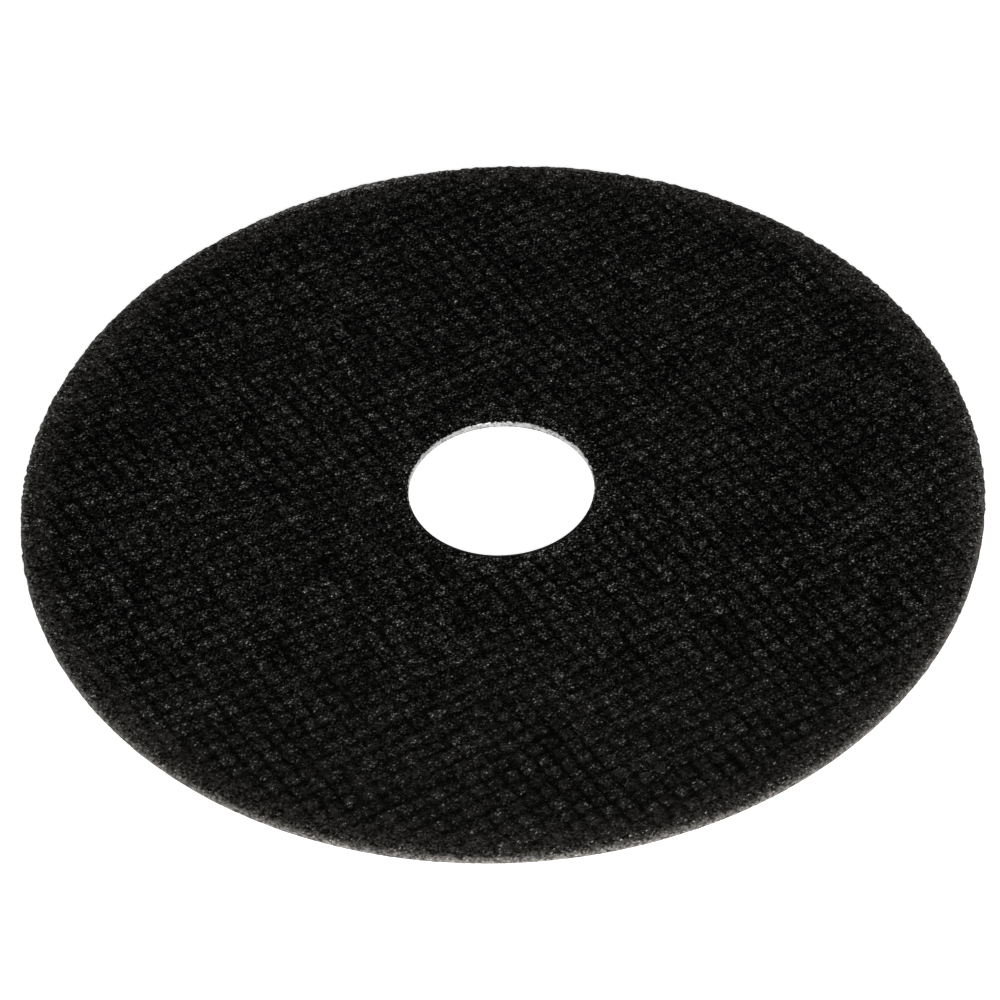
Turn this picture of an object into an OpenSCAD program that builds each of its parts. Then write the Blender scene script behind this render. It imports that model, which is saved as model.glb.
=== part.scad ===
// Thin reinforced cut-off wheel, lying flat with its axis along +Z.
// The origin is the centre of the underside. All sizes are in millimetres.

/* [Wheel] */
// Outside diameter of the wheel
wheel_d = 115; // [100:5:115]
// Thickness of the wheel at its plain lands
wheel_t = 1; // [0.9:0.1:3]
// Width of the bare land at the rim, outside the cloth
rim_land_w = 1.2; // [0.8:0.1:3]
// Fall of the rim land from the edge of the cloth to the rim
rim_drop = 0.15; // [0.05:0.05:0.3]
// Chamfer on the underside of the rim
rim_chamfer = 0.05; // [0.05:0.05:0.3]

/* [Pressed weave] */
// Spacing of the ridges, one for each warp thread
ridge_pitch = 2.1; // [1.8:0.1:4]
// Turn of the ridges in the plane of the wheel, in degrees
ridge_turn = 28.5; // [0:0.5:90]
// Depth of the grooves between the ridges
groove_depth = 0.12; // [0.06:0.02:0.2]
// Width of a groove at the face
groove_w = 0.9; // [0.6:0.1:1.2]
// Width of a groove at its floor
groove_floor_w = 0.3; // [0.1:0.1:0.5]
// Width of the plain land around the bore
hub_land_w = 1.6; // [0.8:0.1:4]

/* [Bore ring] */
// Diameter of the bore
bore_d = 22.23; // [16:0.01:25.4]
// Thickness of the ring's sheet metal
ring_sheet = 0.15; // [0.1:0.01:0.25]
// Inside radius of the bend between collar and flange
bend_r = 0.15; // [0.1:0.01:0.25]
// Outside diameter of the flange on the underside
flange_d = 30; // [28:0.5:40]
// Depth of the collar's edge below the top face
collar_drop = 0; // [0:0.05:0.2]
// Clearance between the ring and the disc
ring_gap = 0.02; // [0.01:0.01:0.05]

/* [Hidden] */
$fn = 96;

// Radii, from the bore outwards
bore_r = bore_d / 2;
collar_r = bore_r + ring_sheet;
hole_r = collar_r + ring_gap;
hub_r = hole_r + hub_land_w;
flange_r = flange_d / 2;
seat_r = flange_r + ring_gap;
wheel_r = wheel_d / 2;
cloth_r = wheel_r - rim_land_w;

// Heights, from the underside upwards
seat_z = ring_sheet + ring_gap;
bend_z = ring_sheet + bend_r;
collar_z = wheel_t - collar_drop;
groove_z = wheel_t - groove_depth;

// Grooves on each side of the middle, all of them clear of the rim land
grooves = floor((cloth_r - groove_w) / ridge_pitch - 0.5);

// Section of the pressed disc, with its falling rim land.
// The underside is cut for the ring's flange.
module disc_section() {
  polygon([
    [hole_r, bend_z],
    [hole_r + bend_r, seat_z],
    [seat_r, seat_z],
    [seat_r, 0],
    [wheel_r - rim_chamfer, 0],
    [wheel_r, rim_chamfer],
    [wheel_r, wheel_t - rim_drop],
    [cloth_r, wheel_t],
    [hole_r, wheel_t],
  ]);
}

// Section of one groove, carried on a little above the face
module groove_section() {
  side = (groove_w - groove_floor_w) / 2;
  polygon([
    [-groove_floor_w / 2, groove_z],
    [groove_floor_w / 2, groove_z],
    [groove_w / 2 + side, wheel_t + groove_depth],
    [-groove_w / 2 - side, wheel_t + groove_depth],
  ]);
}

// Grooves that leave the ridges of the weave standing between the two lands
module weave_grooves() {
  intersection() {
    rotate([90, 0, 90 + ridge_turn])
      linear_extrude(wheel_d, center = true)
        for (k = [-grooves - 1 : grooves])
          translate([(k + 0.5) * ridge_pitch, 0])
            groove_section();
    difference() {
      cylinder(r = cloth_r, h = 2 * wheel_t);
      cylinder(r = hub_r, h = 2 * wheel_t);
    }
  }
}

// Abrasive disc, pressed in one piece with its reinforcing cloth
module abrasive_disc() {
  color([0.07, 0.07, 0.068])
    difference() {
      rotate_extrude()
        disc_section();
      weave_grooves();
    }
}

// Section of the bend, a quarter of a tube
module bend_section() {
  intersection() {
    difference() {
      circle(r = bend_r + ring_sheet);
      circle(r = bend_r);
    }
    translate([-bend_z, -bend_z])
      square(bend_z);
  }
}

// Sheet-metal ring that lines the bore and turns out flush on the underside
module bore_ring() {
  bend_x = collar_r + bend_r;
  color([0.78, 0.78, 0.77])
    rotate_extrude() {
      translate([bore_r, bend_z])
        square([ring_sheet, collar_z - bend_z]);
      translate([bend_x, 0])
        square([flange_r - bend_x, ring_sheet]);
      translate([bend_x, bend_z])
        bend_section();
    }
}

abrasive_disc();
bore_ring();
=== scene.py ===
"""Thin cut-off wheel, lying flat on its back in a white studio."""

from __future__ import annotations

import logging
import math
from collections.abc import Iterable
from dataclasses import dataclass, field
from enum import Enum

import bpy
import numpy as np
from mathutils import Matrix, Vector

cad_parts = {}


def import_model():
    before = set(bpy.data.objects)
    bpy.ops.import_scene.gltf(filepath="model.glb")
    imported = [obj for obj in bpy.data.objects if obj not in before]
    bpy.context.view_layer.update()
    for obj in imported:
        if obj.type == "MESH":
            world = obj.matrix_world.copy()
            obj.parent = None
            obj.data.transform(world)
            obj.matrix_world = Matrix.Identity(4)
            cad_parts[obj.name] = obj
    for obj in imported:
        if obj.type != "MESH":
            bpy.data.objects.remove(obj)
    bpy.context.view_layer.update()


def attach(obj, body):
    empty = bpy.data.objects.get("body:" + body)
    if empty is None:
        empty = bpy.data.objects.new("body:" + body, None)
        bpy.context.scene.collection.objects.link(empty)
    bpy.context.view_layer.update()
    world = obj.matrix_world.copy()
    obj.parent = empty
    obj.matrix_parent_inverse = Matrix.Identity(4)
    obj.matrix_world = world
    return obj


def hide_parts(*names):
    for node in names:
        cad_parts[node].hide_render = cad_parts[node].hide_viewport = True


LOG = logging.getLogger("cut_off_wheel")
MM = 0.001

Triple = tuple[float, float, float]
Colour = Triple
Settings = dict[str, object]
Inputs = dict[str | int, object]


class Tone(Enum):
    """Colours of the wheel and the studio, as linear light."""

    SOOT = (0.0003, 0.0003, 0.0003)
    CHARCOAL = (0.0128, 0.0123, 0.0110)
    WARM_GLINT = (0.52, 0.495, 0.45)
    COOL_GLINT = (0.485, 0.495, 0.495)
    LAND_GREY = (0.050, 0.046, 0.041)
    RIM_GREY = (0.30, 0.282, 0.262)
    TIN = (0.44, 0.44, 0.435)
    # Tarnish, also used for the painted shadow line at the ring's foot.
    TARNISH_AND_SHADE = (0.16, 0.157, 0.153)
    PAPER = (0.90, 0.90, 0.90)
    WHITE = (1.0, 1.0, 1.0)
    BLACK = (0.0, 0.0, 0.0)


class Value:
    """A shader socket that takes part in arithmetic."""

    def __init__(self, shader: Nodes, socket: bpy.types.NodeSocket) -> None:
        """Holds a socket of a shader.

        Args:
            shader: The shader that the socket belongs to.
            socket: An output socket.
        """
        self.shader = shader
        self.socket = socket

    def _math(self, operation: str, *others: Value | float, first: bool = True) -> Value:
        """Adds one Math node.

        Args:
            operation: Name of the Math node's operation.
            others: The other operands.
            first: Whether this value is the first operand.

        Returns:
            The node's result.
        """
        operands = [self, *others] if first else [*others, self]
        settings = {"operation": operation}
        return self.shader.value("ShaderNodeMath", "Value", settings, dict(enumerate(operands)))

    def __add__(self, other: Value | float) -> Value:
        """Sum."""
        return self._math("ADD", other)

    __radd__ = __add__

    def __sub__(self, other: Value | float) -> Value:
        """Difference."""
        return self._math("SUBTRACT", other)

    def __rsub__(self, other: Value | float) -> Value:
        """Difference, with this value taken away."""
        return self._math("SUBTRACT", other, first=False)

    def __mul__(self, other: Value | float) -> Value:
        """Product."""
        return self._math("MULTIPLY", other)

    __rmul__ = __mul__

    def ramp(self, low: float, high: float) -> Value:
        """Smooth step from 0 at low to 1 at high.

        Args:
            low: Where the step starts.
            high: Where the step ends.

        Returns:
            The step, between 0 and 1.
        """
        settings = {"interpolation_type": "SMOOTHSTEP", "clamp": True}
        inputs = {"Value": self, "From Min": low, "From Max": high}
        return self.shader.value("ShaderNodeMapRange", "Result", settings, inputs)

    def between(self, low: float, high: float) -> Value:
        """Gives low where this value is 0 and high where it is 1."""
        return low + (high - low) * self

    def fold(self) -> Value:
        """Gives 0 at each whole number and 1 halfway between two."""
        return 2.0 * self._math("PINGPONG", 0.5)

    def blend(self, start: Value | Colour, end: Value | Colour) -> Value:
        """Mixes two colours by this value.

        Args:
            start: Colour at 0.
            end: Colour at 1.

        Returns:
            The mixed colour.
        """
        settings = {"data_type": "RGBA", "clamp_factor": True}
        return self.shader.value("ShaderNodeMix", 2, settings, {0: self, 6: start, 7: end})


class Nodes:
    """A node tree that takes new nodes through one method."""

    def __init__(self, tree: bpy.types.NodeTree) -> None:
        """Holds a node tree.

        Args:
            tree: The tree of a material or a world.
        """
        self.tree = tree

    def find(self, kind: str) -> bpy.types.Node:
        """Gives the tree's own first node of a type."""
        return next(n for n in self.tree.nodes if n.type == kind)

    def feed(self, socket: bpy.types.NodeSocket, value: Value | float | Colour) -> None:
        """Links or sets one input socket.

        Args:
            socket: The input socket.
            value: A value to link, or a constant.
        """
        if isinstance(value, Value):
            self.tree.links.new(value.socket, socket)
        elif isinstance(value, tuple) and socket.type == "RGBA":
            socket.default_value = (*value, 1.0)
        else:
            socket.default_value = value

    def node(self, kind: str, settings: Settings, inputs: Inputs) -> bpy.types.Node:
        """Adds a node.

        Args:
            kind: The node's type.
            settings: Its properties, set before its sockets.
            inputs: Its input sockets by name or place.

        Returns:
            The node.
        """
        made = self.tree.nodes.new(kind)
        for name, setting in settings.items():
            setattr(made, name, setting)
        for key, value in inputs.items():
            self.feed(made.inputs[key], value)
        return made

    def value(self, kind: str, output: str | int, settings: Settings, inputs: Inputs) -> Value:
        """Adds a node and gives one of its outputs.

        Args:
            kind: The node's type.
            output: Name or place of the output.
            settings: Its properties.
            inputs: Its input sockets by name or place.

        Returns:
            The output, for use in arithmetic.
        """
        return Value(self, self.node(kind, settings, inputs).outputs[output])

    def seen(self) -> Value:
        """Tells the rays that show the background, in view, in a reflection or through glass.

        Returns:
            1 for such a ray, and 0 for the others.
        """
        path = self.node("ShaderNodeLightPath", {}, {})
        ways = ("Is Camera Ray", "Is Glossy Ray", "Is Transmission Ray")
        camera, glossy, through = (Value(self, path.outputs[way]) for way in ways)
        return camera + glossy + through


class Shader(Nodes):
    """A material's node tree around one Principled shader."""

    def __init__(self, name: str) -> None:
        """Starts a material.

        Args:
            name: Name of the material.
        """
        self.material = bpy.data.materials.new(name)
        self.material.use_nodes = True
        super().__init__(self.material.node_tree)
        self.surface = self.find("BSDF_PRINCIPLED")

    def place(self) -> Value:
        """Gives the place on the piece, in millimetres."""
        where = self.value("ShaderNodeTexCoord", "Object", {}, {})
        return self.vector("MULTIPLY", where, (1 / MM, 1 / MM, 1 / MM))

    def vector(self, operation: str, first: Value, second: Triple) -> Value:
        """Adds one Vector Math node.

        Args:
            operation: Name of the node's operation.
            first: The vector to work on.
            second: The other operand.

        Returns:
            The node's vector.
        """
        settings = {"operation": operation}
        return self.value("ShaderNodeVectorMath", "Vector", settings, {0: first, 1: second})

    def radius(self, place: Value) -> Value:
        """Gives the distance from the wheel's axis.

        Args:
            place: The place on the piece, in millimetres.

        Returns:
            The distance, in millimetres.
        """
        flat = self.vector("MULTIPLY", place, (1.0, 1.0, 0.0))
        return self.value("ShaderNodeVectorMath", "Value", {"operation": "LENGTH"}, {0: flat})

    def along(self, place: Value, axis: int) -> Value:
        """Gives the place along one axis, in millimetres."""
        return self.value("ShaderNodeSeparateXYZ", axis, {}, {0: place})

    def noise(self, place: Value, scale: float, detail: float = 2.0) -> Value:
        """Gives soft noise.

        Args:
            place: The place on the piece, in millimetres.
            scale: Blotches in a millimetre.
            detail: Octaves of finer noise.

        Returns:
            The noise, about 0.5.
        """
        inputs = {"Vector": place, "Scale": scale, "Detail": detail}
        return self.value("ShaderNodeTexNoise", 0, {}, inputs)

    def grains(self, place: Value, scale: float) -> tuple[Value, Value]:
        """Gives packed grains.

        Args:
            place: The place on the piece, in millimetres.
            scale: Grains in a millimetre.

        Returns:
            The distance to the middle of a grain, and a chance value for each grain.
        """
        cells = self.node("ShaderNodeTexVoronoi", {}, {"Vector": place, "Scale": scale})
        distance, colour = (Value(self, cells.outputs[name]) for name in ("Distance", "Color"))
        return distance, self.value("ShaderNodeSeparateColor", 0, {}, {0: colour})

    def turned(self, place: Value, angle: float, stretch: Triple) -> Value:
        """Turns the place about the axis and stretches it.

        Args:
            place: The place on the piece, in millimetres.
            angle: The turn, in degrees.
            stretch: Scale along each axis after the turn.

        Returns:
            The turned place.
        """
        inputs = {"Vector": place, "Angle": math.radians(angle)}
        spun = self.value("ShaderNodeVectorRotate", 0, {"rotation_type": "Z_AXIS"}, inputs)
        return self.vector("MULTIPLY", spun, stretch)

    def bump(self, height: Value, strength: float, depth: float) -> Value:
        """Turns a height into a normal.

        Args:
            height: The height, about 0 to 1.
            strength: How much of the bump is used.
            depth: The bump's depth, in millimetres.

        Returns:
            The bumped normal.
        """
        inputs = {"Strength": strength, "Distance": depth * MM, "Height": height}
        return self.value("ShaderNodeBump", 0, {}, inputs)

    def set(self, **sockets: Value | float | Colour) -> bpy.types.Material:
        """Feeds the Principled shader.

        Args:
            sockets: Values by socket name, with underscores for spaces.

        Returns:
            The finished material.
        """
        for name, value in sockets.items():
            self.feed(self.surface.inputs[name.replace("_", " ")], value)
        return self.material


@dataclass(frozen=True)
class GritFinish:
    """Near-black grit in resin, with pale specks that are partly grains and partly painted
    glints, browner and barer at the rim.

    Grain sizes are grains in a millimetre, radii are in millimetres and turns in degrees.
    """

    coarse: float = 2.7
    fine: float = 7.0
    spark: float = 3.8
    chip: Triple = (2.5, 6.2, 4.5)
    chip_turn: float = 10.0
    flake: Triple = (1.8, 4.4, 3.2)
    flake_turn: float = -48.0
    wall_r: float = 57.4
    land_r: float = 56.2
    pale_r: float = 52.5
    hub_r: float = 13.4
    # Direction and span of the far rim, where many more pale specks are painted as glints.
    far_glint_dir: tuple[float, float] = (-0.309, 0.951)
    far_glint_span: tuple[float, float] = (54.8, 57.0)
    resin_and_sheen_span: tuple[float, float] = (25.0, 65.0)
    gloss: float = 0.002

    def specks_and_glints(self, s: Shader, place: Value, resin_and_near_sheen: Value) -> tuple[Value, Value]:
        """Gives the pale specks, partly pale grains and partly painted glints: chips and larger
        flakes, dust, and a few bright sparks.

        Args:
            s: The shader.
            place: The place on the piece, in millimetres.
            resin_and_near_sheen: Where more resin lies, with flakes in place of chips; it lies
                towards the near side, where the body also carries painted sheen.

        Returns:
            How pale the grit is with its painted glints, and a chance value for each fleck of
            dust.
        """
        total = 0.0
        kinds = (
            (self.chip_turn, self.chip, resin_and_near_sheen.between(0.8, 0.38)),
            (self.flake_turn, self.flake, resin_and_near_sheen.between(0.44, 0.8)),
        )
        for turn, size, share in kinds:
            cell, chance = s.grains(s.turned(place, turn, size), 1.0)
            rare = chance * chance * chance * chance * chance
            total = total + share * (1.0 - cell.ramp(0.26, 0.38)) * rare
        cell, fleck = s.grains(place, self.fine)
        total = total + 0.24 * (1.0 - cell.ramp(0.26, 0.44)) * fleck * fleck * fleck
        cell, chance = s.grains(place, self.spark)
        return total + 1.05 * (1.0 - cell.ramp(0.18, 0.36)) * chance.ramp(0.9, 1.0), fleck

    def pads(self, s: Shader, edge: Value, clear: Value) -> tuple[Value, Value]:
        """Gives the pads of the weave, with ragged edges, for the shade painted in the grooves.

        Args:
            s: The shader.
            edge: How far the edges are pushed about, in half threads.
            clear: How clear the grooves are, and so how strong their painted shade.

        Returns:
            Relief from 0 in the grooves to 1 on the crests, and a chance value for each pad.
        """
        relief = s.value("ShaderNodeAttribute", "Fac", {"attribute_name": "relief"}, {})
        cloth = s.value("ShaderNodeAttribute", "Vector", {"attribute_name": "cloth"}, {})
        warp, weft, woven = (s.along(cloth, axis) for axis in range(3))
        across = 1.0 - clear * (warp.fold() + edge).ramp(0.54, 0.9)
        along = 1.0 - 0.76 * (weft.fold() + edge).ramp(0.44, 0.92)
        shifted = s.vector("ADD", cloth, (0.5, 0.5, 0.0))
        whole = s.value("ShaderNodeVectorMath", "Vector", {"operation": "FLOOR"}, {0: shifted})
        settings = {"noise_dimensions": "2D"}
        pick = s.value("ShaderNodeTexWhiteNoise", "Value", settings, {"Vector": whole})
        crest = woven * across * along * relief.between(0.55, 1.0)
        return crest + (1.0 - woven) * relief, pick

    def material(self) -> bpy.types.Material:
        """Makes the material.

        Returns:
            The grit's material.
        """
        s = Shader("abrasive_grit")
        place = s.place()
        x, y, z = (s.along(place, axis) for axis in range(3))
        radius = s.radius(place)
        cell, chance = s.grains(place, self.coarse)
        cloud = s.noise(place, 0.06, 3.0)
        clump = s.noise(place, 0.75, 3.0)
        mottle = s.noise(place, 3.2, 2.0).ramp(0.36, 0.66)
        chipped = s.noise(place, 1.4, 3.0)
        clear = s.noise(place, 0.045, 2.0).ramp(0.38, 0.58).between(0.45, 0.95)
        relief, pick = self.pads(s, chipped.between(-0.35, 0.35), clear)

        # Zones: the rim's wall, the two plain lands, where resin lies with painted sheen towards
        # the near side, and the far rim's painted glints.
        wall = (radius + 1.3 * chipped).ramp(self.wall_r, self.wall_r + 1.0)
        # Painted floor-bounce light: the wall grows paler towards its foot.
        bounce_lit_foot = 1.0 - z.ramp(0.05, 0.75)
        land = radius.ramp(self.pale_r, self.wall_r)
        bare = radius.ramp(self.land_r, self.land_r + 0.3)
        bare = bare + 1.0 - radius.ramp(self.hub_r - 1.2, self.hub_r + 0.8)
        # Towards the near side: more resin and fewer specks, and a body painted lighter, with
        # painted sheen on the crests.
        resin_and_near_sheen = (30.0 * cloud - y).ramp(*self.resin_and_sheen_span)
        # Painted glints: many more pale specks on the far rim's bare land.
        far_glint_x, far_glint_y = self.far_glint_dir
        far_rim_glints = bare * (far_glint_y * y + far_glint_x * x).ramp(*self.far_glint_span)
        relief = relief * (1.0 + bare * mottle.between(-0.75, 0.75))

        # Pale specks, gathered on the crests and the lands; fewer in the grooves, as painted
        # shade.
        specks_and_glints, fleck = self.specks_and_glints(s, place, resin_and_near_sheen)
        gather = relief.between(0.16, 1.11) * clump.ramp(0.3, 0.7).between(0.6, 1.25)
        gather = gather * cloud.between(0.5, 1.4) * pick.between(0.6, 1.25)
        gather = gather * chance.ramp(0.2, 0.8).between(0.4, 1.25) * bare.between(1.0, 1.9)
        gather = gather * resin_and_near_sheen.between(1.0, 0.55) * far_rim_glints.between(1.0, 5.5)

        # Dark body below the specks, dusty at the rim; darker in the grooves and paler on the
        # crests, as painted shade and painted highlight.
        facet = chance * chance * chance + 0.55 * fleck * fleck
        facet = facet * relief.between(0.25, 1.25) * resin_and_near_sheen.between(1.0, 1.6)
        body = 0.62 * facet * pick.between(0.6, 1.4) + 0.15 * clump - 0.11
        # Painted sheen: the body lighter on the crests towards the near side.
        body = body + 0.19 * resin_and_near_sheen * (0.3 + relief)
        dark = body.blend(Tone.SOOT.value, Tone.CHARCOAL.value)
        dusty = (land * chance * mottle).blend(dark, Tone.LAND_GREY.value)
        # The rim's own grey on the wall, painted paler towards its foot as bounce light from the
        # floor.
        rim_grey_and_bounce = wall * bounce_lit_foot.between(0.4, 1.0) * (0.1 + 0.8 * mottle + 0.5 * chance)
        ground = rim_grey_and_bounce.blend(dusty, Tone.RIM_GREY.value)
        # Pale specks over the ground, partly grains and partly painted glints.
        glint = chance.blend(Tone.WARM_GLINT.value, Tone.COOL_GLINT.value)
        colour = (specks_and_glints * gather).blend(ground, glint)
        rough = chance.between(0.55, 0.35)
        normal = s.bump(chance * 0.7 - cell * 0.5 + clump * 0.4, 0.8, 0.1)
        return s.set(
            Base_Color=colour, Roughness=rough, Specular_IOR_Level=self.gloss, Normal=normal
        )


@dataclass(frozen=True)
class TinFinish:
    """Bright tinned sheet, scratched and a little tarnished, with resin crumbs at its edge and a
    painted shadow line along the bend near its foot.

    Heights and places are in millimetres.
    """

    streak: Triple = (3.0, 3.0, 3.6)
    smear_z: float = 1.36
    smear_w: float = 0.14
    contact_shade_z: float = 0.2
    flash_y: float = 8.0
    gloss: float = 0.02

    def material(self) -> bpy.types.Material:
        """Makes the material.

        Returns:
            The sheet metal's material.
        """
        s = Shader("tinned_sheet")
        place = s.place()
        height = s.along(place, 2)
        lines = s.noise(s.vector("MULTIPLY", place, self.streak), 1.0, 3.0)
        stain = s.noise(place, 0.5, 4.0)
        crumbs = s.noise(place, 2.6, 2.0)
        # Painted contact shadow: a dark line along the bend near the ring's foot, mixed in with
        # the tarnish.
        contact_shade_line = height.ramp(self.contact_shade_z - 0.1, self.contact_shade_z)
        contact_shade_line = contact_shade_line * (1.0 - height.ramp(self.contact_shade_z, self.contact_shade_z + 0.12))
        tarnish_and_shade = (stain * 0.9 + lines * 3.4 - 1.85).ramp(0.0, 1.0) + contact_shade_line * stain.ramp(0.3, 0.5)
        tin = tarnish_and_shade.blend(Tone.TIN.value, Tone.TARNISH_AND_SHADE.value)
        flash = 0.3 * (0.0 - s.along(place, 1)).ramp(0.0, self.flash_y)
        smear = (height + 0.9 * crumbs + flash).ramp(self.smear_z, self.smear_z + self.smear_w)
        colour = smear.blend(tin, Tone.CHARCOAL.value)
        rough = 0.3 + 0.25 * lines + 0.3 * smear
        return s.set(
            Base_Color=colour,
            Metallic=1.0 - smear,
            Roughness=rough,
            Specular_IOR_Level=self.gloss,
            Normal=s.bump(lines, 0.5, 0.04),
        )


@dataclass(frozen=True)
class FloorFinish:
    """Plain white paper, lifted to white where the camera sees it."""

    glow: float = 0.60

    def material(self) -> bpy.types.Material:
        """Makes the material.

        Returns:
            The paper's material.
        """
        s = Shader("white_paper")
        tooth = s.noise(s.place(), 0.02, 2.0)
        colour = (tooth * 0.1).blend(Tone.PAPER.value, Tone.WHITE.value)
        glow = s.seen().blend(Tone.BLACK.value, Tone.WHITE.value)
        return s.set(
            Base_Color=colour,
            Roughness=0.9,
            Specular_IOR_Level=0.1,
            Emission_Color=glow,
            Emission_Strength=self.glow,
        )


@dataclass
class Ring:
    """One ring of points about the axis, in millimetres."""

    radius: float
    height: float
    count: int


@dataclass
class RingMesh:
    """Collects rings of points and closes them into one skin."""

    points: list[np.ndarray] = field(default_factory=list)
    starts: list[int] = field(default_factory=list)
    counts: list[int] = field(default_factory=list)
    faces: list[tuple[int, int, int]] = field(default_factory=list)
    total: int = 0

    def add(self, ring: Ring) -> None:
        """Adds one ring, turned by half a step on every other ring.

        Args:
            ring: The ring to add.
        """
        turn = 0.5 * (len(self.counts) % 2)
        angle = 2 * math.pi * (np.arange(ring.count) + turn) / ring.count
        x, y = ring.radius * np.cos(angle), ring.radius * np.sin(angle)
        self.points.append(np.stack([x, y, np.full(ring.count, ring.height)], 1))
        self.starts.append(self.total)
        self.counts.append(ring.count)
        self.total += ring.count

    def join(self, inner: int, outer: int) -> None:
        """Joins two rings with triangles.

        Args:
            inner: Place of the first ring.
            outer: Place of the second ring.
        """
        a, b = self.starts[inner], self.starts[outer]
        m, n = self.counts[inner], self.counts[outer]
        lead = 0.5 * (inner % 2) / m
        lag = 0.5 * (outer % 2) / n
        i = j = 0
        while i < m or j < n:
            on_inner = (i + 1) / m + lead
            on_outer = (j + 1) / n + lag
            if j >= n or (i < m and on_inner < on_outer):
                self.faces.append((a + i % m, b + j % n, a + (i + 1) % m))
                i += 1
            else:
                self.faces.append((a + i % m, b + j % n, b + (j + 1) % n))
                j += 1

    def close(self) -> None:
        """Joins each ring to the next, and the last to the first."""
        for k in range(len(self.counts)):
            self.join(k, (k + 1) % len(self.counts))

    def object(self, name: str, points: np.ndarray) -> bpy.types.Object:
        """Makes the mesh object.

        Args:
            name: Name of the piece.
            points: All points, in millimetres.

        Returns:
            The piece, smooth shaded.
        """
        mesh = bpy.data.meshes.new(name)
        mesh.from_pydata((points * MM).tolist(), [], self.faces)
        mesh.polygons.foreach_set("use_smooth", np.ones(len(mesh.polygons), dtype=bool))
        mesh.update()
        piece = bpy.data.objects.new(name, mesh)
        bpy.context.collection.objects.link(piece)
        return piece


@dataclass
class Weave:
    """The cloth's pattern of pads, slightly skewed and bowed, in millimetres and degrees."""

    warp_pitch: float = 2.107
    weft_pitch: float = 2.090
    warp_dir: float = 30.0
    weft_dir: float = 118.35
    bow: float = 0.00035
    waves: int = 10
    wave: float = 0.35
    wander: float = 0.0225
    table: int = 128
    core: float = 0.30
    slope: float = 0.65
    seed: int = 7

    def threads(self, x: np.ndarray, y: np.ndarray) -> tuple[np.ndarray, np.ndarray]:
        """Counts threads across the cloth in both directions.

        Args:
            x: Places across.
            y: Places along.

        Returns:
            The warp and weft counts, whole at a pad's centre.
        """
        rng = np.random.default_rng(self.seed)
        a, b = math.radians(self.warp_dir), math.radians(self.weft_dir)
        s = (x * math.cos(a) + y * math.sin(a)) / self.warp_pitch
        t = (x * math.cos(b) + y * math.sin(b)) / self.weft_pitch - self.bow * x * x
        for _ in range(self.waves):
            kx, ky = rng.normal(0.0, self.wave, 2)
            for thread in (s, t):
                phase = rng.uniform(0.0, 2 * math.pi)
                thread += self.wander * np.sin(kx * x + ky * y + phase)
        return s, t

    def pads(self, x: np.ndarray, y: np.ndarray) -> np.ndarray:
        """Gives the height of the pads.

        Args:
            x: Places across.
            y: Places along.

        Returns:
            Heights from 0 in the grooves to about 1 on the crests.
        """
        s, t = self.threads(x, y)
        rng = np.random.default_rng(self.seed + 1)
        rise = rng.uniform(0.5, 1.0, (self.table, self.table))
        size = rng.uniform(-0.1, 0.1, (self.table, self.table))
        cell = (np.rint(s).astype(int) % self.table, np.rint(t).astype(int) % self.table)
        across = 2 * np.abs(s - np.rint(s)) + size[cell]
        along = 2 * np.abs(t - np.rint(t)) + size[cell]
        return self._shoulder(across) * self._shoulder(along) * rise[cell]

    def _shoulder(self, away: np.ndarray) -> np.ndarray:
        """Gives a pad's shoulder, 1 at its middle and 0 at the groove."""
        step = np.clip((away - self.core) / self.slope, 0.0, 1.0)
        return 1.0 - step * step * (3 - 2 * step)


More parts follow.
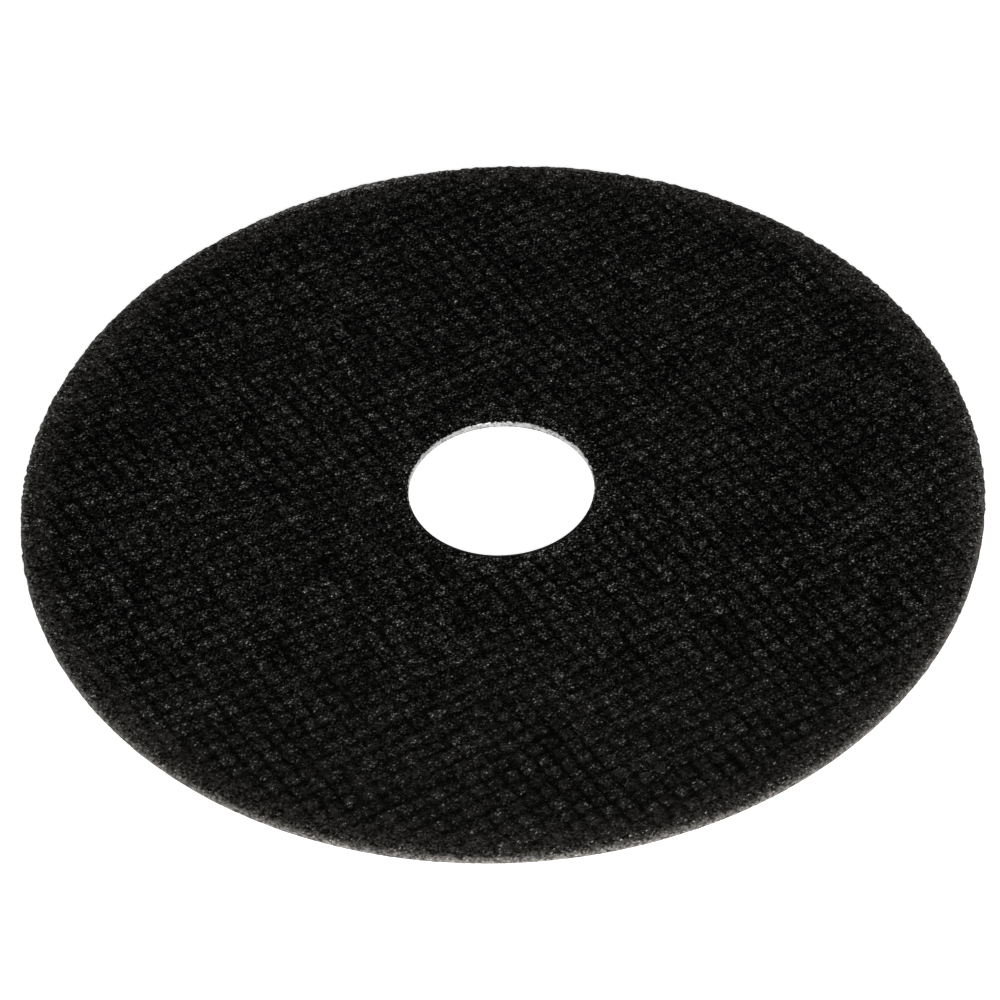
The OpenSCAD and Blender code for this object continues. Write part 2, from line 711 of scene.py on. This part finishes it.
@dataclass
class AbrasiveDisc:
    """The pressed disc, with its weave, lands, rough rim and plain back, in millimetres."""

    wheel_r: float = 57.5
    wheel_t: float = 1.0
    rim_land_w: float = 1.2
    rim_drop: float = 0.12
    rim_edge: float = 0.06
    rim_round: float = 0.02
    rim_steps: tuple[float, ...] = (0.06, 0.25, 0.48)
    rim_chamfer: float = 0.05
    foot_z: float = 0.1
    back_r: tuple[float, ...] = (56.5, 40.0, 25.0)
    bead_w: float = 0.35
    hole_r: float = 11.285
    hub_land_w: float = 1.6
    hub_fade_in: float = 0.9
    hub_fade_w: float = 1.5
    rim_fade_w: float = 0.3
    seat_r: float = 15.02
    seat_z: float = 0.17
    bend_r: float = 0.15
    bend_z: float = 0.3
    hole_z: float = 0.83
    lip_w: float = 0.45
    lip_z: float = 0.93
    pad_h: float = 0.12
    crest_drop: float = 0.02
    land_drop: float = 0.01
    land_relief: float = 0.6
    step: float = 0.36
    lip_step: float = 0.15
    land_step: float = 0.25
    rim_points: int = 1204
    back_points: int = 480
    seat_points: int = 320
    hole_points: int = 240
    grain: float = 0.018
    rim_grain: float = 0.03
    rim_grain_most: float = 0.08
    rim_swell: float = 0.02
    rim_lump: float = 0.05
    rim_lump_most: float = 0.12
    foot_share: float = 0.15
    lip_grain: float = 0.04
    lip_grain_most: float = 0.12
    seed: int = 21
    weave: Weave = field(default_factory=Weave)

    def rings(self) -> tuple[RingMesh, int, int]:
        """Lays out the rings, out over the face, down the rim and back underneath.

        Returns:
            The rings, how many points lie on the face, and how many to the foot of the rim.
        """
        mesh = RingMesh()
        cloth_r = self.wheel_r - self.rim_land_w
        lip_r = self.hole_r + self.lip_w
        edge_r = self.wheel_r - self.rim_edge
        spans = (
            (self.hole_r, lip_r, self.lip_step),
            (lip_r, cloth_r, self.step),
            (cloth_r, edge_r, self.land_step),
        )
        for start, end, step in spans:
            along = min(step + 0.05, self.step)
            for radius in np.linspace(start, end, round((end - start) / step) + 1)[:-1]:
                mesh.add(Ring(radius, self.wheel_t, round(2 * math.pi * radius / along)))
        face = mesh.total
        fall = self.wheel_t - self.rim_drop
        wall = [(edge_r, fall + self.rim_round)]
        wall += [(self.wheel_r, fall - depth) for depth in self.rim_steps]
        wall += [(self.wheel_r, self.foot_z), (self.wheel_r - self.rim_chamfer, 0.0)]
        for radius, height in wall:
            mesh.add(Ring(radius, height, self.rim_points))
        rim = mesh.total
        for radius in (*self.back_r, self.seat_r):
            mesh.add(Ring(radius, 0.0, self.back_points))
        for radius in (self.seat_r, self.hole_r + self.bend_r):
            mesh.add(Ring(radius, self.seat_z, self.seat_points))
        for height in (self.bend_z, self.hole_z):
            mesh.add(Ring(self.hole_r, height, self.hole_points))
        mesh.close()
        return mesh, face, rim

    def face_height(
        self, x: np.ndarray, y: np.ndarray
    ) -> tuple[np.ndarray, np.ndarray, np.ndarray]:
        """Gives the height of the face and how high its pads stand.

        Args:
            x: Places across.
            y: Places along.

        Returns:
            Heights, relief from 0 in the grooves to 1 on the crests, and 1 where the cloth lies.
        """
        radius = np.hypot(x, y)
        hub_r = self.hole_r + self.hub_land_w
        cloth_r = self.wheel_r - self.rim_land_w
        pads = self.weave.pads(x, y)
        field_in = np.clip((radius - hub_r + self.hub_fade_in) / self.hub_fade_w, 0.0, 1.0)
        field_out = np.clip((cloth_r - self.bead_w - radius) / self.rim_fade_w, 0.0, 1.0)
        woven = field_in * field_out
        crest = self.wheel_t - self.crest_drop
        height = woven * (crest - self.pad_h + self.pad_h * pads)
        height += (1 - woven) * (self.wheel_t - self.land_drop)
        at_lip = np.clip(1.0 - (radius - self.hole_r) / self.lip_w, 0.0, 1.0)
        height -= at_lip**2 * (self.wheel_t - self.lip_z)
        outside = np.clip((radius - cloth_r) / self.rim_land_w, 0.0, 1.0)
        height -= outside * self.rim_drop
        return height, woven * pads + (1 - woven) * self.land_relief, woven

    def roughen(self, points: np.ndarray, face: int, rim: int, lip: int) -> None:
        """Gives the face its grain, the bore its ragged lip and the rim its bumps.

        Args:
            points: All points, which are moved.
            face: How many points lie on the face.
            rim: How many points lie there and down to the foot of the rim.
            lip: How many points lie on the bore's lip, the first ring.
        """
        rng = np.random.default_rng(self.seed)
        points[:face, 2] -= np.abs(rng.normal(0.0, self.grain, face))
        chips = rng.normal(0.0, self.rim_grain, rim - face)
        chips = np.clip(chips, -self.rim_grain_most, self.rim_grain_most)
        ragged = np.abs(rng.normal(0.0, self.lip_grain, lip))
        ragged = np.minimum(ragged, self.lip_grain_most)
        points[:lip, :2] *= 1.0 + ragged[:, None] / self.hole_r
        lumps = rng.normal(0.0, self.rim_lump, self.rim_points)
        lumps = lumps + np.roll(lumps, 1)
        lumps = np.clip(lumps, -self.rim_lump_most, self.rim_lump_most)
        chips = chips.reshape(-1, self.rim_points) + lumps
        share = np.linspace(1.0, self.foot_share, len(chips))
        swell = self.rim_swell + chips * share[:, None]
        points[face:rim, :2] *= 1.0 + swell.reshape(-1, 1) / self.wheel_r

    def build(self) -> bpy.types.Object:
        """Makes the disc's mesh.

        Returns:
            The disc.
        """
        mesh, face, rim = self.rings()
        points = np.concatenate(mesh.points)
        x, y = points[:face, 0], points[:face, 1]
        height, relief, woven = self.face_height(x, y)
        cloth = np.zeros((len(points), 3), np.float32)
        cloth[:face] = np.stack([*self.weave.threads(x, y), woven], 1)
        points[:face, 2] = height
        self.roughen(points, face, rim, mesh.counts[0])
        piece = mesh.object("abrasive_disc_grit", points)
        lifted = np.full(len(points), 0.5)
        lifted[:face] = relief
        layer = piece.data.attributes.new("relief", "FLOAT", "POINT")
        layer.data.foreach_set("value", lifted.astype(np.float32))
        layer = piece.data.attributes.new("cloth", "FLOAT_VECTOR", "POINT")
        layer.data.foreach_set("vector", cloth.ravel())
        return piece

    def dress(self, piece: bpy.types.Object) -> None:
        """Gives the disc its finish and its place in the frame.

        Args:
            piece: The disc.
        """
        piece.data.materials.append(GritFinish().material())
        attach(piece, "root")
        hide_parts("abrasive_disc")


@dataclass
class BoreRing:
    """The sheet ring that lines the bore, in millimetres."""

    bore_r: float = 11.115
    sheet: float = 0.15
    bend_r: float = 0.15
    flange_r: float = 15.0
    collar_z: float = 1.0
    edge_cut: float = 0.03
    bend_steps: int = 6
    count: int = 288

    def arc(self, radius: float, turns: Iterable[float]) -> list[tuple[float, float]]:
        """Gives points of the bend.

        Args:
            radius: Their distance from the bend's centre.
            turns: The angle of each, in radians.

        Returns:
            Radius and height of each point.
        """
        r = self.bore_r + self.sheet + self.bend_r
        z = self.sheet + self.bend_r
        return [(r + radius * math.cos(turn), z + radius * math.sin(turn)) for turn in turns]

    def section(self) -> list[tuple[float, float]]:
        """Gives the ring's section.

        Returns:
            Radius and height of each corner, round the section.
        """
        collar_r = self.bore_r + self.sheet
        steps = range(self.bend_steps + 1)
        quarter = [math.radians(180 + 90 * k / self.bend_steps) for k in steps]
        cut = self.edge_cut
        top = [
            (collar_r, self.collar_z - cut),
            (collar_r - cut, self.collar_z),
            (self.bore_r + cut, self.collar_z),
            (self.bore_r, self.collar_z - cut),
        ]
        bend = self.arc(self.bend_r + self.sheet, quarter)
        edge = [
            (self.flange_r - cut, 0.0),
            (self.flange_r, cut),
            (self.flange_r, self.sheet - cut),
            (self.flange_r - cut, self.sheet),
        ]
        back = self.arc(self.bend_r, reversed(quarter))
        return top + bend + edge + back

    def build(self) -> bpy.types.Object:
        """Makes the ring's mesh.

        Returns:
            The ring.
        """
        mesh = RingMesh()
        for radius, height in reversed(self.section()):
            mesh.add(Ring(radius, height, self.count))
        mesh.close()
        return mesh.object("bore_ring_sheet", np.concatenate(mesh.points))

    def dress(self, piece: bpy.types.Object) -> None:
        """Gives the ring its finish and its place in the frame.

        Args:
            piece: The ring.
        """
        piece.data.materials.append(TinFinish().material())
        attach(piece, "root")
        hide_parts("bore_ring")


@dataclass
class Lamp:
    """One soft lamp, in metres and watts."""

    name: str
    place: Triple
    size: float
    power: float

    def build(self) -> None:
        """Puts the lamp up, facing the wheel."""
        light = bpy.data.lights.new(self.name, "AREA")
        light.shape = "DISK"
        light.size = self.size
        light.energy = self.power
        lamp = bpy.data.objects.new(self.name, light)
        lamp.location = self.place
        lamp.rotation_euler = (-Vector(self.place)).to_track_quat("-Z", "Y").to_euler()
        bpy.context.collection.objects.link(lamp)


@dataclass
class Studio:
    """White floor, soft lamps and the camera, in metres, degrees and millimetres of lens."""

    floor_half: float = 3.0
    floor_gap: float = 0.00002
    surround: float = 0.12
    lens: float = 171.85
    sensor: float = 36.0
    near: float = 0.01
    elevation: float = 45.80
    roll: float = -3.097
    camera_place: Triple = (-0.000233, -0.39869, 0.40887)
    lamps: tuple[Lamp, ...] = (
        Lamp("front_softbox", (0.03, -0.38, 0.20), 0.40, 2.75),
        Lamp("back_softbox", (0.10, 0.45, 0.95), 0.35, 1.15),
        Lamp("side_softbox", (-0.90, -0.10, 0.70), 0.60, 1.4),
    )

    def floor(self) -> None:
        """Lays the floor."""
        h = self.floor_half
        mesh = bpy.data.meshes.new("paper_floor")
        corners = [(-h, -h, 0), (h, -h, 0), (h, h, 0), (-h, h, 0)]
        mesh.from_pydata(corners, [], [(0, 1, 2, 3)])
        piece = bpy.data.objects.new("paper_floor", mesh)
        piece.location.z = -self.floor_gap
        mesh.materials.append(FloorFinish().material())
        bpy.context.collection.objects.link(piece)

    def world(self) -> None:
        """Sets a white surround for the camera and a dimmer one for the light."""
        world = bpy.data.worlds.new("white_surround")
        bpy.context.scene.world = world
        world.use_nodes = True
        n = Nodes(world.node_tree)
        inputs = {"Value": n.seen(), "To Min": self.surround, "To Max": 1.0}
        level = n.value("ShaderNodeMapRange", "Result", {"clamp": True}, inputs)
        back = n.find("BACKGROUND")
        n.feed(back.inputs["Color"], Tone.WHITE.value)
        n.feed(back.inputs["Strength"], level)

    def camera(self) -> None:
        """Sets the camera where the photograph was taken from."""
        tilt, roll = math.radians(self.elevation), math.radians(self.roll)
        back = Vector((0.0, -math.cos(tilt), math.sin(tilt)))
        right = Vector((1.0, 0.0, 0.0))
        up = back.cross(right)
        across = math.cos(roll) * right + math.sin(roll) * up
        upright = math.cos(roll) * up - math.sin(roll) * right
        lens = bpy.data.cameras.new("camera")
        lens.lens = self.lens
        lens.sensor_width = self.sensor
        lens.dof.use_dof = False
        lens.clip_start = self.near
        camera = bpy.data.objects.new("camera", lens)
        turn = Matrix((across, upright, back)).transposed().to_4x4()
        camera.matrix_world = Matrix.Translation(self.camera_place) @ turn
        bpy.context.collection.objects.link(camera)
        bpy.context.scene.camera = camera

    def build(self) -> None:
        """Builds the studio."""
        self.floor()
        self.world()
        for lamp in self.lamps:
            lamp.build()
        self.camera()
        bpy.context.scene.view_settings.view_transform = "Standard"


def main() -> None:
    """Builds the wheel and its studio."""
    logging.basicConfig(level=logging.INFO, format="%(name)s: %(message)s")
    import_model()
    for part in (AbrasiveDisc(), BoreRing()):
        piece = part.build()
        part.dress(piece)
        LOG.info("%s: %d triangles", piece.name, len(piece.data.polygons))
    Studio().build()
    LOG.info("studio: floor, lamps and camera")


if __name__ == "__main__":
    main()
